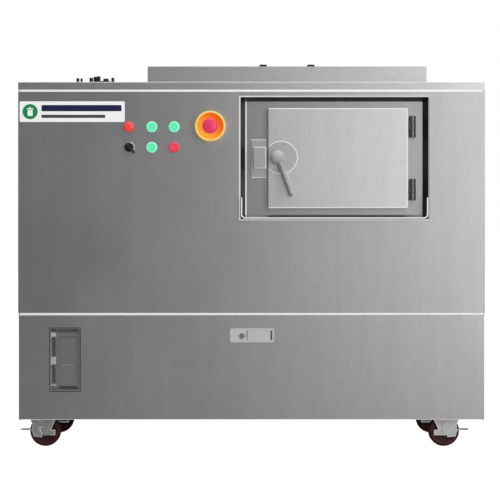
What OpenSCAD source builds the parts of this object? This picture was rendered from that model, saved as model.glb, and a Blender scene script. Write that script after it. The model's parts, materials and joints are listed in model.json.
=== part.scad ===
// Horizontal-ram trash compactor on castors, in millimetres.
// X runs to the right, Y to the back and Z up. The origin is on the floor, under the middle.

/* [Cabinet] */
// Width over the side panels
body_w = 1200; // [1196:1:1204]
// Depth from the front face to the back panel
body_d = 700; // [698:1:702]
// Height of the top panel above the floor
top_z = 941; // [940:1:944]
// Height of the lower edge of the skirt
skirt_z = 71; // [69:1:73]
// Height of the top edge of the service flap
flap_top_z = 342; // [341:1:343]
// Thickness of the cabinet's sheet metal
sheet = 2; // [1.5:0.5:2]

/* [Feed door] */
// Width of the feed door
door_w = 358.5; // [356:0.5:359]
// Height of the feed door
door_h = 257.5; // [255:0.5:258]
// Thickness of the feed door
door_t = 22; // [21:0.5:22]
// Depth of the recess that the door sits in
recess_d = 30; // [29:0.5:31]
// How far the guard lip stands out of the front face
lip_out = 16; // [10:1:18]

/* [Door latch] */
// Radius of the ball hub of the lever
hub_r = 18.4; // [16:0.1:19]
// Radius of the lever's rod
rod_r = 6.5; // [5:0.5:7]
// How far the latch tongue slides
tongue_stroke = 14; // [12:1:15]

/* [Controls] */
// Radius of the metal bezel of each push button
bezel_r = 14; // [13:0.5:15]
// Travel of each push button
button_travel = 4; // [3:0.5:4]
// Outer radius of the emergency stop's collar
collar_r = 39; // [37:0.5:40]
// Radius of the emergency stop's mushroom head
mushroom_r = 20; // [18:0.5:21]

/* [Ram and waste drawer] */
// Width of the ram and of its channel, front to back
ram_w = 520; // [510:5:520]
// Length of the ram's body
ram_l = 350; // [345:5:350]
// Stroke of the ram
ram_stroke = 340; // [300:10:340]
// Outer diameter of the hydraulic cylinder
barrel_d = 90; // [84:1:92]

/* [Castors] */
// Diameter of each castor wheel
wheel_d = 80; // [76:1:80]
// Width of each castor wheel
wheel_w = 32; // [28:1:32]
// Distance from a castor's swivel axis to its wheel's axle
trail = 28; // [24:1:28]

/* [Hidden] */
$fn = 48;
fit = 0.05;         // radial running clearance of a pin in its bore
gap = 0.3;          // clearance between faces that slide past each other
half_w = body_w / 2;
front_y = -body_d / 2;
back_y = body_d / 2;
lip_h = 21;         // drop of the top panel's folded lip
panel_top_z = top_z - lip_h - 3;
panel_z0 = flap_top_z + 4;

// Channel-section frame
frame_x = 590;
frame_y0 = front_y + 24;
frame_y1 = back_y - 5;
base_z0 = 107;
base_h = 40;
base_z1 = base_z0 + base_h;
cross_x = [90, 120];
post = 30;
post_t = 3;
ring_z1 = top_z - sheet;
ring_z0 = ring_z1 - post;

// Door, hinge and recess
door_x0 = 43.5;
door_x1 = door_x0 + door_w;
door_z0 = 616.5;
door_z1 = door_z0 + door_h;
recess_y = front_y + recess_d;
door_y1 = recess_y - 3;
door_y0 = door_y1 - door_t;
recess_out = [[-28.8, 588], [454.6, 902]];
recess_in = [[-15, 600], [441, 892]];
feed_lo = [60, 632];
feed_hi = [388, 858];
hinge_x = 414.6;
hinge_y = recess_y - 14;
hinge_zs = [637, 799];
hinge_h = 55;
knuckle_r = 8.25;
pin_r = 4;

// Latch
lever_x = 65.7;
lever_z = 747.3;
lever_tip = [102.8, -393.8, 646.4];
plate_y = door_y0 - 3;
hub_y = plate_y - 13;
shaft_r = 6;
crank_r = tongue_stroke;
crank_pin_r = 3;
tongue_y = [door_y0 + 4, door_y0 + 14];
tongue_z = [735, 760];

// Controls: places on the front face
button_spots = [[-256.5, 825.5], [-199.2, 825.5], [-256.5, 772.8], [-199.2, 772.8]];
lamp_spot = [-315.6, 825.5];
selector_spot = [-314.5, 772.8];
stop_spot = [-106.1, 826.5];
panel_hole_r = 11.25;
bezel_out = 6;
cap_r = 11.2;
plunger_r = 9;
barrel_back_y = front_y + 40;

// Ram, chamber and drawer
wall = 4;
ram_y0 = -290;
ram_y1 = ram_y0 + ram_w;
ram_z = [360, 603];
channel_z = [356, 608];
chamber_x = [0, 440];
ram_y_mid = (ram_y0 + ram_y1) / 2;
cylinder_z = 484;
gate_x = [132, 438];
gate_z = [344, 350];
drawer_x0 = 130;
drawer_y = [-288, 223];
drawer_z = [155, 330];

// Service flap, its latch and the socket pocket
flap_x = half_w - 2;
flap_z0 = skirt_z + 2;
flap_pivot = [front_y + 10, 82];
flap_hinge_xs = [-380, 0, 380];
pocket_out = [[-516, 148], [-442.5, 306]];
pocket_in = [[-505, 158], [-446, 296]];
socket_x = [-497.5, -451];
socket_zs = [187.6, 257.7];
socket_h = 47.5;
flush_x = [-55.5, 58];
flush_z = [271.6, 307.6];
lock_spot = [-25, 288];
paddle_x = [-12, 51];
paddle_pivot = [paddle_x[0] + 3, front_y + 2];

// Top cover
cover_x = [-269, 453];
cover_y = [front_y + 50, 290];
cover_z = [top_z + 0.5, top_z + 43];
cover_pivot = [296, top_z + 6];
cover_hinge_xs = [-180, 92, 364];
hatch_x = [-245, 430];
hatch_y = [-230, 250];

// Castors
swivel_x = 489;
swivel_shift = -18;
swivel_y = 268;
axle_z = wheel_d / 2;
pedal_up = 16;
castor_sides = [[-1, -1], [1, -1], [-1, 1], [1, 1]];

// ---- Building shapes ----

// A block between two corners
module block(lo, hi) {
    translate(lo) cube(hi - lo);
}

// Round bars along each axis, between two ends
module bar_x(x0, x1, y, z, r) {
    translate([x0, y, z]) rotate([0, 90, 0]) cylinder(h = x1 - x0, r = r);
}

module bar_y(y0, y1, x, z, r) {
    translate([x, y0, z]) rotate([-90, 0, 0]) cylinder(h = y1 - y0, r = r);
}

module bar_z(z0, z1, x, y, r) {
    translate([x, y, z0]) cylinder(h = z1 - z0, r = r);
}

// Turns the Z axis of what it holds to run from one point towards another
module aimed(a, b) {
    d = b - a;
    translate(a) rotate([0, acos(d.z / norm(d)), atan2(d.y, d.x)]) children();
}

// An outline drawn in Y and Z, made a plate between two places along X
module plate_x(x0, x1) {
    translate([x0, 0, 0]) rotate([90, 0, 90]) linear_extrude(x1 - x0) children();
}

// An outline drawn in X and Z, made a plate between two places along Y
module plate_y(y0, y1) {
    translate([0, y1, 0]) rotate([90, 0, 0]) linear_extrude(y1 - y0) children();
}

// A round profile about an axis that runs out of the front face, from a spot on that face
module turned_out(spot) {
    translate([spot[0], front_y, spot[1]]) rotate([90, 0, 0]) rotate_extrude() children();
}

// A flat rectangle with rounded corners
module round_rect(lo, hi, r) {
    translate([lo.x + r, lo.y]) square([hi.x - lo.x - 2 * r, hi.y - lo.y]);
    translate([lo.x, lo.y + r]) square([hi.x - lo.x, hi.y - lo.y - 2 * r]);
    for (x = [lo.x + r, hi.x - r], y = [lo.y + r, hi.y - r]) translate([x, y]) circle(r);
}

// A block that narrows from an outer to an inner rectangle as it goes back
module tapered(out, inner, y0, y1) {
    intersection() {
        translate([0, 0, out[0].y]) linear_extrude(out[1].y - out[0].y)
            polygon([[out[0].x, y0], [out[1].x, y0], [inner[1].x, y1], [inner[0].x, y1]]);
        plate_x(out[0].x, out[1].x)
            polygon([[y0, out[0].y], [y0, out[1].y], [y1, inner[1].y], [y1, inner[0].y]]);
    }
}

// A sheet-metal pocket: tapered walls and a back plate
module tapered_pan(out, inner, y0, y1, t) {
    grow = [t, t];
    difference() {
        tapered([out[0] - grow, out[1] + grow], [inner[0] - grow, inner[1] + grow], y0, y1 + t);
        tapered(out, inner, y0, y1);
    }
}

// A horizontal ring of angle section: a web all round and a flange along its lower edge
module angle_ring(lo, hi, w, t) {
    difference() {
        block(lo, hi);
        block([lo.x + w, lo.y + w, lo.z - 1], [hi.x - w, hi.y - w, hi.z + 1]);
        block(lo + [t, t, t], hi + [-t, -t, 1]);
    }
}

// An upright angle post, whose corner points outwards
module angle_post(x, y, side_x, side_y) {
    translate([x, y, base_z1]) mirror([side_x > 0 ? 1 : 0, 0, 0]) mirror([0, side_y > 0 ? 1 : 0, 0])
        difference() {
            cube([post, post, ring_z0 - base_z1]);
            translate([post_t, post_t, -1]) cube([post, post, ring_z0 - base_z1 + 2]);
        }
}

// A row of ventilation slots, cut through a panel at right angles to X
module slots_x(x0, x1, y0, y1, z0, n, pitch, h) {
    for (i = [0 : n - 1]) block([x0, y0, z0 + i * pitch], [x1, y1, z0 + i * pitch + h]);
}

// ---- Frame and cabinet ----

module base_frame() {
    plate = [104, 84, 4];
    plate_z = base_z0 - plate.z;
    king_r = 6;
    color("dimgray") {
        angle_ring([-frame_x, frame_y0, base_z0], [frame_x, frame_y1, base_z1], base_h, post_t);
        for (y = [drawer_y[0] - 7, drawer_y[1] - 26])
            block([cross_x[1], y, base_z1 - 7], [frame_x - post_t + 1, y + 24, drawer_z[0] - gap]);
        for (s = castor_sides) {
            x = s.x * swivel_x + swivel_shift;
            translate([x - plate.x / 2, s.y * swivel_y - plate.y / 2, plate_z]) cube(plate);
            bar_z(plate_z - 10, plate_z, x, s.y * swivel_y, king_r);
        }
    }
}

// Floor under the power pack and the ram, and the member that carries its right edge
module base_floor() {
    color("dimgray") {
        block([cross_x[0], frame_y0 + post_t, base_z0 + post_t],
            [cross_x[1], frame_y1 - post_t, base_z1]);
        block([-frame_x + post_t, frame_y0 + post_t, base_z1 - post_t],
            [cross_x[1], frame_y1 - post_t, base_z1]);
    }
}

// Brackets and pins that the service flap hangs on
module flap_brackets() {
    cheek = 14;
    cheek_t = 4;
    pin_over = 17;
    color("dimgray") for (x = flap_hinge_xs) {
        for (side = [-1, 1])
            plate_x(x + side * cheek - cheek_t / 2, x + side * cheek + cheek_t / 2) {
                polygon([[frame_y0, base_z1 - 4], [frame_y0, base_z0],
                    [flap_pivot.x + 5, flap_pivot.y - 2], [flap_pivot.x - 4, flap_pivot.y + 4],
                    [flap_pivot.x + 4, base_z1 - 4]]);
                translate(flap_pivot) circle(6);
            }
        bar_x(x - pin_over, x + pin_over, flap_pivot.x, flap_pivot.y, pin_r - 1);
    }
}

module upright_frame() {
    rail_z = panel_z0 + post;
    color("dimgray") {
        for (s = castor_sides)
            angle_post(s.x * frame_x, s.y < 0 ? frame_y0 : frame_y1, s.x, s.y);
        difference() {
            block([-frame_x + post - 1, frame_y0, panel_z0], [frame_x - post + 1, frame_y0 + 26, rail_z]);
            block([-frame_x, frame_y0 + post_t, panel_z0 + post_t],
                [frame_x, frame_y0 + 27, rail_z + 1]);
        }
        block([lock_spot.x - 20, frame_y0 - 3, panel_z0 - 26],
            [lock_spot.x + 20, frame_y0, panel_z0 + 10]);
    }
}

module top_frame() {
    color("dimgray")
        angle_ring([-frame_x, frame_y0, ring_z0], [frame_x, frame_y1, ring_z1], post, post_t);
}

module front_panel() {
    fold = 18;
    room = sheet + 0.2;
    color("silver") difference() {
        block([-half_w, front_y, panel_z0], [half_w, front_y + fold, panel_top_z]);
        block([-half_w + sheet, front_y + sheet, panel_z0 + sheet],
            [half_w - sheet, front_y + fold + 1, panel_top_z - sheet]);
        plate_y(front_y - 1, front_y + sheet + 1)
            square_between(recess_out[0] - [room, room], recess_out[1] + [room, room]);
        for (p = concat(button_spots, [lamp_spot, selector_spot, stop_spot]))
            bar_y(front_y - 1, front_y + sheet + 1, p[0], p[1], panel_hole_r);
    }
}

// A flat rectangle between two corners
module square_between(lo, hi) {
    translate(lo) square(hi - lo);
}

// A side panel on the right, drawn with its folds; the left one is its mirror image
module side_panel_shell() {
    fold = half_w - frame_x - 1;
    y0 = front_y + 20;
    difference() {
        block([half_w - fold, y0, skirt_z], [half_w, back_y, panel_top_z + 1]);
        block([half_w - fold - 1, y0 + sheet, skirt_z - 1],
            [half_w - sheet, back_y - sheet - 2, panel_top_z - 1]);
        block([half_w - fold - 1, back_y - 14, skirt_z - 1],
            [half_w - sheet, back_y + 1, panel_top_z + 2]);
    }
}

module left_panel() {
    color("silver") difference() {
        mirror([1, 0, 0]) side_panel_shell();
        slots_x(-half_w - 1, -half_w + sheet + 1, -40, 160, 190, 9, 14, 6);
        slots_x(-half_w - 1, -half_w + sheet + 1, 120, 280, 720, 6, 14, 6);
    }
}

module right_panel() {
    clear = 3;
    color("silver") difference() {
        side_panel_shell();
        block([half_w - sheet - 1, drawer_y[0] - clear, drawer_z[0] - clear],
            [half_w + 1, drawer_y[1] + clear, drawer_z[1] + clear]);
        slots_x(half_w - sheet - 1, half_w + 1, 120, 280, 720, 6, 14, 6);
    }
}

module back_panel() {
    boss = [-450, 200];
    gland_r = 10;
    color("silver") difference() {
        union() {
            block([-half_w + sheet, back_y - sheet, skirt_z], [half_w - sheet, back_y, panel_top_z + 1]);
            bar_y(back_y, back_y + 10, boss[0], boss[1], gland_r + 8);
        }
        bar_y(back_y - sheet - 1, back_y + 11, boss[0], boss[1], gland_r);
        for (i = [0 : 8], x = [-300, -150])
            block([x, back_y - sheet - 1, 190 + 14 * i], [x + 120, back_y + 1, 196 + 14 * i]);
    }
    color("dimgray") for (x = [-500, 0, 500], z = [110, 480, 904])
        bar_y(back_y, back_y + 4, x, z, 6);
}

module top_panel() {
    knuckle = 5;
    coaming = 14;
    color("silver") {
        difference() {
            union() {
                block([-half_w + sheet, front_y + sheet, top_z - sheet],
                    [half_w - sheet, back_y - sheet, top_z]);
                block([hatch_x[0] - sheet, hatch_y[0] - sheet, top_z - sheet],
                    [hatch_x[1] + sheet, hatch_y[1] + sheet, top_z + coaming]);
            }
            block([hatch_x[0], hatch_y[0], top_z - sheet - 1],
                [hatch_x[1], hatch_y[1], top_z + coaming + 1]);
        }
        for (x = cover_hinge_xs, side = [-1, 1]) {
            bar_x(x + side * 14 - 6, x + side * 14 + 6, cover_pivot[0], cover_pivot[1], knuckle);
            block([x + side * 14 - 6, cover_pivot[0], top_z - 1],
                [x + side * 14 + 6, cover_pivot[0] + knuckle - 1, cover_pivot[1]]);
        }
        for (x = cover_hinge_xs)
            bar_x(x - 20.5, x + 20.5, cover_pivot[0], cover_pivot[1], 2.5);
    }
}

// The lip that is folded down all round the top panel
module top_lip() {
    color("silver") difference() {
        block([-half_w, front_y, top_z - lip_h], [half_w, back_y, top_z]);
        block([-half_w + sheet, front_y + sheet, top_z - lip_h - 1],
            [half_w - sheet, back_y - sheet, top_z + 1]);
    }
}

module rear_handle() {
    tube_r = 14;
    bar_yc = back_y + 36;
    bar_zc = 860;
    reach = 350;
    foot = [60, 6, 80];
    color("dimgray") {
        bar_x(-reach, reach, bar_yc, bar_zc, tube_r);
        for (x = [-reach + 40, reach - 40]) {
            bar_y(back_y + foot.y, bar_yc, x, bar_zc, tube_r - 4);
            translate([x - foot.x / 2, back_y, bar_zc - foot.z / 2]) cube(foot);
        }
    }
}

// Blank plate with two plain bars
module nameplate() {
    lo = [-596, 838];
    hi = [-326, 891];
    color("white") plate_y(front_y - 1, front_y) round_rect(lo, hi, 4);
}

// Breather, level plug and small fittings on the top, above the oil tank
module top_fittings() {
    y = front_y + 90;
    color("#202020") {
        bar_z(top_z, top_z + 15, -452, y, 4);
        bar_z(top_z, top_z + 15, -443, y + 12, 3);
        bar_z(top_z, top_z + 16, -417, y, 5);
        bar_z(top_z, top_z + 20, -408, y + 18, 4);
        bar_z(top_z, top_z + 20, -398, y, 5);
        bar_z(top_z, top_z + 8, -381, y + 6, 13);
        bar_z(top_z + 8, top_z + 14, -379, y + 6, 7);
        bar_z(top_z, top_z + 16, -361, y, 4);
    }
}

// ---- Feed door and its recess ----

module door_recess() {
    lip_lo = [-27, 589.5];
    lip_hi = [453, 643.5];
    lip_t = 3;
    corner = 11;
    rim = [3.4, 3];
    color("silver") {
        difference() {
            union() {
                tapered_pan(recess_out, recess_in, front_y, recess_y, sheet);
                plate_y(front_y - 1.5, front_y) square_between(recess_out[0] - rim, recess_out[1] + rim);
            }
            plate_y(front_y - 2, front_y) square_between(recess_out[0], recess_out[1]);
            plate_y(recess_y - 1, recess_y + sheet + 1) square_between(feed_lo, feed_hi);
        }
        plate_y(front_y - lip_out, front_y + 4) difference() {
            round_rect(lip_lo, lip_hi + [0, 20], corner);
            round_rect(lip_lo + [lip_t, lip_t], lip_hi + [-lip_t, 30], corner - lip_t);
            square_between([lip_lo.x - 1, lip_hi.y], lip_hi + [1, 40]);
        }
    }
}

module frame_hinges() {
    color("gray") for (z = hinge_zs) {
        bar_z(z, z + hinge_h, hinge_x, hinge_y, pin_r);
        for (i = [0, 2]) {
            bar_z(z + i * hinge_h / 3, z + (i + 1) * hinge_h / 3, hinge_x, hinge_y, knuckle_r);
            block([hinge_x - 6, hinge_y, z + i * hinge_h / 3],
                [hinge_x + 6, recess_y, z + (i + 1) * hinge_h / 3]);
        }
    }
}

module door_hinges() {
    color("gray") for (z = hinge_zs)
        difference() {
            union() {
                bar_z(z + hinge_h / 3 + gap, z + 2 * hinge_h / 3 - gap, hinge_x, hinge_y, knuckle_r);
                block([door_x1, hinge_y - 4, z + hinge_h / 3 + gap],
                    [hinge_x, hinge_y + 4, z + 2 * hinge_h / 3 - gap]);
            }
            bar_z(z, z + hinge_h, hinge_x, hinge_y, pin_r + fit);
        }
}

module latch_keeper() {
    lo = [-0.8, 695];
    hi = [38, 794];
    hump_lo = [5.4, 719];
    hump_hi = [37.3, 774];
    hump_y = door_y0 - 1;
    color("silver") difference() {
        union() {
            plate_y(recess_y - 5, recess_y) square_between(lo, hi);
            plate_y(hump_y, recess_y - 5) round_rect(hump_lo, hump_hi, 3);
        }
        block([hump_lo.x + 8, tongue_y[0] - 2, tongue_z[0] - 4],
            [hi.x + 1, tongue_y[1] + 2, tongue_z[1] + 4]);
    }
    color("dimgray") for (x = [lo.x + 8, (lo.x + hi.x) / 2, hi.x - 8], z = [707, 783])
        bar_y(recess_y - 6.5, recess_y - 5, x, z, 2.6);
}

module door_skin() {
    color("silver") difference() {
        block([door_x0, door_y0, door_z0], [door_x1, door_y1 - sheet, door_z1]);
        block([door_x0 + sheet, door_y0 + sheet, door_z0 + sheet],
            [door_x1 - sheet, door_y1, door_z1 - sheet]);
        block([door_x0 - 1, tongue_y[0] - 1, tongue_z[0] - 2],
            [door_x0 + 3, tongue_y[1] + 1, tongue_z[1] + 2]);
        bar_y(door_y0 - 1, door_y0 + sheet + 1, lever_x, lever_z, shaft_r + fit);
    }
}

module door_liner() {
    rib_w = 14;
    color("gainsboro") {
        block([door_x0 + 1, door_y1 - sheet, door_z0 + 1], [door_x1 - 1, door_y1, door_z1 - 1]);
        for (x = [150, 240, 330])
            block([x, door_y0 + sheet + gap, door_z0 + 20], [x + rib_w, door_y1 - sheet, door_z1 - 20]);
    }
}

module door_gasket() {
    out = 10;
    color("#303030") plate_y(door_y1, recess_y - gap) difference() {
        square_between(feed_lo - [out, out], feed_hi + [out, out]);
        square_between(feed_lo - [2, 2], feed_hi + [2, 2]);
    }
}

module latch_plate() {
    arc_c = [75.8, 746.8];
    arc_r = 42.7;
    rivet_r = 31.6;
    color("silver") difference() {
        plate_y(plate_y, door_y0) intersection() {
            translate(arc_c) circle(arc_r);
            square_between([door_x0, arc_c.y - arc_r], arc_c + [arc_r, arc_r]);
        }
        bar_y(plate_y - 1, door_y0 + 1, lever_x, lever_z, shaft_r + fit);
    }
    color("dimgray") for (a = [104, 35, -32, -104])
        bar_y(plate_y - 1.6, plate_y, arc_c.x + rivet_r * cos(a), arc_c.y + rivet_r * sin(a), 3);
}

module latch_lever() {
    pin = [lever_x + crank_r * sin(30), lever_z - crank_r * cos(30)];
    spindle_end = -tongue_y[1] - 4;
    reach = norm(lever_tip - [lever_x, hub_y, lever_z]);
    color("gainsboro") {
        translate([lever_x, 0, lever_z]) rotate([90, 0, 0]) rotate_extrude() {
            intersection() {
                translate([0, -hub_y]) circle(hub_r);
                translate([0, gap - plate_y]) square([hub_r + 1, 3 * hub_r]);
            }
            translate([0, spindle_end]) square([shaft_r, -hub_y - spindle_end]);
            translate([0, spindle_end]) square([crank_r + 4, 3]);
        }
        aimed([lever_x, hub_y, lever_z], lever_tip) rotate_extrude()
            polygon([[0, 0], [rod_r, 0], [rod_r, reach - 3], [rod_r - 3, reach], [0, reach]]);
        bar_y(tongue_y[0] + 2, tongue_y[1] + 4, pin[0], pin[1], crank_pin_r);
    }
}

module latch_tongue() {
    slot_x = lever_x + crank_r * sin(30);
    color("gray") plate_y(tongue_y[0], tongue_y[1]) difference() {
        union() {
            square_between([door_x0 - 0.5, tongue_z[0]], [118, tongue_z[1]]);
            square_between([slot_x - 8, 726], [slot_x + 8, tongue_z[0] + 1]);
        }
        square_between([lever_x - 16, lever_z - 8], [lever_x + 30, lever_z + 8]);
        square_between([slot_x - crank_pin_r - gap, 728], [slot_x + crank_pin_r + gap, lever_z]);
    }
}

// ---- Controls ----

module button_bezels() {
    color("gainsboro") for (p = concat(button_spots, [selector_spot]))
        turned_out(p) {
            difference() {
                translate([cap_r + 0.4, 0]) square([bezel_r - cap_r - 0.4, bezel_out]);
                translate([bezel_r, bezel_out - 1.5]) rotate(45) square(3);
            }
        }
    color("#303030") for (p = concat(button_spots, [selector_spot]))
        difference() {
            bar_y(front_y, barrel_back_y, p[0], p[1], panel_hole_r - 0.25);
            bar_y(front_y - 1, barrel_back_y + 1, p[0], p[1], plunger_r + fit);
        }
}

// A push button: cap in its bezel and plunger in its barrel
module push_button(spot, tint) {
    rest_gap = button_travel + 0.5;
    color(tint) {
        bar_y(front_y - 9.5, front_y - rest_gap, spot[0], spot[1], cap_r);
        bar_y(front_y - rest_gap, barrel_back_y - 2, spot[0], spot[1], plunger_r);
    }
}

module pilot_lamp() {
    color("tomato") turned_out(lamp_spot) {
        square([cap_r, 20]);
    }
    color("gainsboro") turned_out(lamp_spot) {
        translate([cap_r, 0]) square([bezel_r - cap_r, bezel_out]);
    }
    color("#303030") bar_y(front_y, barrel_back_y, lamp_spot[0], lamp_spot[1], panel_hole_r - 0.25);
}

module selector_knob() {
    grip = 15;
    color("#202020") {
        bar_y(front_y - 8, front_y - 1, selector_spot[0], selector_spot[1], cap_r);
        bar_y(front_y - 1, barrel_back_y - 2, selector_spot[0], selector_spot[1], plunger_r);
        translate([selector_spot[0], 0, selector_spot[1]]) rotate([0, 135, 0])
            block([-3.5, front_y - 20, -cap_r + 1], [3.5, front_y - 8, grip]);
    }
}

module estop_collar() {
    depth = 26;
    rim_r = 2.5;
    color("gold") difference() {
        union() {
            turned_out(stop_spot) {
                translate([collar_r - 2 * rim_r, 0]) square([2 * rim_r, depth]);
                translate([collar_r - rim_r, depth]) circle(rim_r);
                square([collar_r - rim_r, 3]);
            }
            bar_y(front_y, barrel_back_y, stop_spot[0], stop_spot[1], panel_hole_r - 0.25);
        }
        bar_y(front_y - 30, barrel_back_y + 1, stop_spot[0], stop_spot[1], 8 + fit);
    }
}

module estop_stem() {
    color("#303030") {
        bar_y(front_y - 26, barrel_back_y - 2.5, stop_spot[0], stop_spot[1], 8);
        bar_y(front_y - 34, front_y - 26, stop_spot[0], stop_spot[1], 4);
    }
}

module estop_head() {
    color("crimson") difference() {
        turned_out(stop_spot) {
            translate([0, 26 + gap]) square([mushroom_r - 5, 5]);
            translate([0, 30]) square([mushroom_r, 6]);
            intersection() {
                translate([0, 36 - 38]) circle(43.3);
                translate([0, 36]) square([mushroom_r, 6]);
            }
        }
        bar_y(front_y - 35, front_y - 20, stop_spot[0], stop_spot[1], 4 + fit);
    }
}

module control_box() {
    lo = [-380, front_y + 44, 690];
    hi = [-50, front_y + 170, 880];
    t = 1.5;
    color("gray") {
        difference() {
            block(lo, hi);
            block(lo + [t, t, t], hi + [-t, 1, -t]);
        }
        block([lo.x + 20, hi.y - 40, lo.z + 10], [hi.x - 20, hi.y - 34, hi.z - 10]);
        for (x = [lo.x + 30, hi.x - 50]) block([x, lo.y, hi.z], [x + 20, lo.y + 8, ring_z0]);
        for (x = [lo.x + 60, hi.x - 60], z = [lo.z + 30, hi.z - 30]) bar_y(hi.y - 40, hi.y, x, z, 4);
    }
    color("#303030") for (i = [0 : 3])
        block([lo.x + 40 + 64 * i, hi.y - 90, lo.z + 50], [lo.x + 90 + 64 * i, hi.y - 40, lo.z + 130]);
}

// ---- Service flap ----

module service_flap() {
    fold = 12;
    room = [sheet + 1.5, sheet + 1.5];
    rim = [3, 3];
    knuckle_w = 11.5;
    color("silver") difference() {
        union() {
            block([-flap_x, front_y, flap_z0], [flap_x, front_y + sheet, flap_top_z]);
            for (side = [-1, 1])
                block([side > 0 ? flap_x - sheet : -flap_x, front_y, flap_z0 + 30],
                    [side > 0 ? flap_x : -flap_x + sheet, front_y + fold, flap_top_z]);
            block([-flap_x, front_y, flap_top_z - sheet], [flap_x, front_y + fold, flap_top_z]);
            for (x = flap_hinge_xs) {
                bar_x(x - knuckle_w, x + knuckle_w, flap_pivot.x, flap_pivot.y, 6);
                block([x - knuckle_w, front_y, flap_pivot.y - 6],
                    [x + knuckle_w, flap_pivot.x, flap_pivot.y + 6]);
            }
        }
        for (x = flap_hinge_xs)
            bar_x(x - knuckle_w - 1, x + knuckle_w + 1, flap_pivot.x, flap_pivot.y, pin_r - 1 + fit);
        plate_y(front_y - 1, front_y + sheet + 1)
            square_between(pocket_out[0] - room, pocket_out[1] + room);
        plate_y(front_y - 1, front_y + sheet + 1)
            square_between([flush_x[0], flush_z[0]] + rim, [flush_x[1], flush_z[1]] - rim);
    }
}

module flap_latch_body() {
    lo = [flush_x[0], flush_z[0]];
    hi = [flush_x[1], flush_z[1]];
    back = front_y + 20;
    color("whitesmoke") difference() {
        union() {
            plate_y(front_y - 3, front_y) round_rect(lo, hi, 5);
            plate_y(front_y, back) square_between(lo + [3.5, 3.5], hi - [3.5, 3.5]);
        }
        bar_y(front_y - 4, back + 1, lock_spot.x, lock_spot.y, 7 + fit);
        block([paddle_x[0] - 1, front_y - 4, lo.y + 6], [paddle_x[1] + 2, back - 4, hi.y - 6]);
        bar_z(lo.y + 4, hi.y - 4, paddle_pivot.x, paddle_pivot.y, 2);
    }
}

module flap_paddle() {
    z0 = flush_z[0] + 6 + gap;
    z1 = flush_z[1] - 6 - gap;
    color("gainsboro") {
        bar_z(z0, z1, paddle_pivot.x, paddle_pivot.y, 3);
        block([paddle_pivot.x - 0.5, front_y - 2.5, z0], [paddle_x[1] - 2.5, front_y + 0.5, z1]);
        bar_z(flush_z[0] + 4.2, flush_z[1] - 4.2, paddle_pivot.x, paddle_pivot.y, 2 - fit);
    }
}

module flap_lock() {
    cam_y = frame_y0 + 2;
    color("silver") difference() {
        bar_y(front_y - 4.5, cam_y + 3, lock_spot.x, lock_spot.y, 7);
        block([lock_spot.x - 0.8, front_y - 5, lock_spot.y - 3.5],
            [lock_spot.x + 0.8, front_y + 4, lock_spot.y + 3.5]);
    }
    color("gray")
        block([lock_spot.x - 44, cam_y, lock_spot.y - 7], [lock_spot.x - 6.5, cam_y + 3, lock_spot.y + 7]);
}

module service_pocket() {
    foot_h = pocket_in[0].y - base_z1;
    color("silver") {
        tapered_pan(pocket_out, pocket_in, front_y, recess_y, sheet);
        for (x = [pocket_in[0].x + 4, pocket_in[1].x - 14])
            block([x, recess_y + sheet, base_z1], [x + 10, recess_y + 2 * sheet, base_z1 + foot_h + 30]);
    }
    for (z = socket_zs) {
        z_top = z + socket_h / 2;
        color("gainsboro") difference() {
            block([socket_x[0], recess_y - 4, z - socket_h / 2], [socket_x[1], recess_y, z_top]);
            bar_y(recess_y - 5, recess_y - 1, (socket_x[0] + socket_x[1]) / 2, z - 2, 16);
        }
        color("gainsboro") for (x = [socket_x[0], socket_x[1] - 4])
            difference() {
                block([x, recess_y - 10, z_top - 4], [x + 4, recess_y - 4, z_top + 3]);
                bar_x(x - 1, x + 5, recess_y - 7, z_top, 1.5);
            }
        color("gray") bar_x(socket_x[0], socket_x[1], recess_y - 7, z_top, 1.5);
    }
}

// A spring lid over one socket, hinged along its top edge
module socket_cover(z) {
    z_top = z + socket_h / 2;
    color("silver") difference() {
        union() {
            block([socket_x[0] + 4.5, recess_y - 9.5, z_top - 6],
                [socket_x[1] - 4.5, recess_y - 4.3, z_top]);
            block([socket_x[0], recess_y - 9.5, z - socket_h / 2],
                [socket_x[1], recess_y - 4.3, z_top - 5]);
            bar_x(socket_x[0] + 4.5, socket_x[1] - 4.5, recess_y - 7, z_top, 2.6);
        }
        bar_x(socket_x[0], socket_x[1], recess_y - 7, z_top, 1.5 + fit);
    }
}

// ---- Top cover ----

module top_cover() {
    t = 2;
    bolt_z = 5.5;
    mid = (cover_x[0] + cover_x[1]) / 2;
    color("silver") difference() {
        union() {
            block([cover_x[0], cover_y[0], cover_z[0]], [cover_x[1], cover_y[1], cover_z[1]]);
            for (x = cover_hinge_xs) {
                bar_x(x - 7.7, x + 7.7, cover_pivot[0], cover_pivot[1], 5);
                block([x - 7.7, cover_y[1] - t, cover_pivot[1] - 5],
                    [x + 7.7, cover_pivot[0], cover_pivot[1] + 5]);
            }
        }
        block([cover_x[0] + t, cover_y[0] + t, cover_z[0] - 10],
            [cover_x[1] - t, cover_y[1] - t, cover_z[1] - t]);
        for (x = cover_hinge_xs) bar_x(x - 10, x + 10, cover_pivot[0], cover_pivot[1], 2.5 + fit);
    }
    color("#202020") for (x = [mid - 62, mid + 62])
        bar_z(cover_z[1], cover_z[1] + bolt_z, x, cover_y[0] + 16, 9.6, $fn = 6);
}

// ---- Chamber, ram, gate and drawer ----

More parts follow.
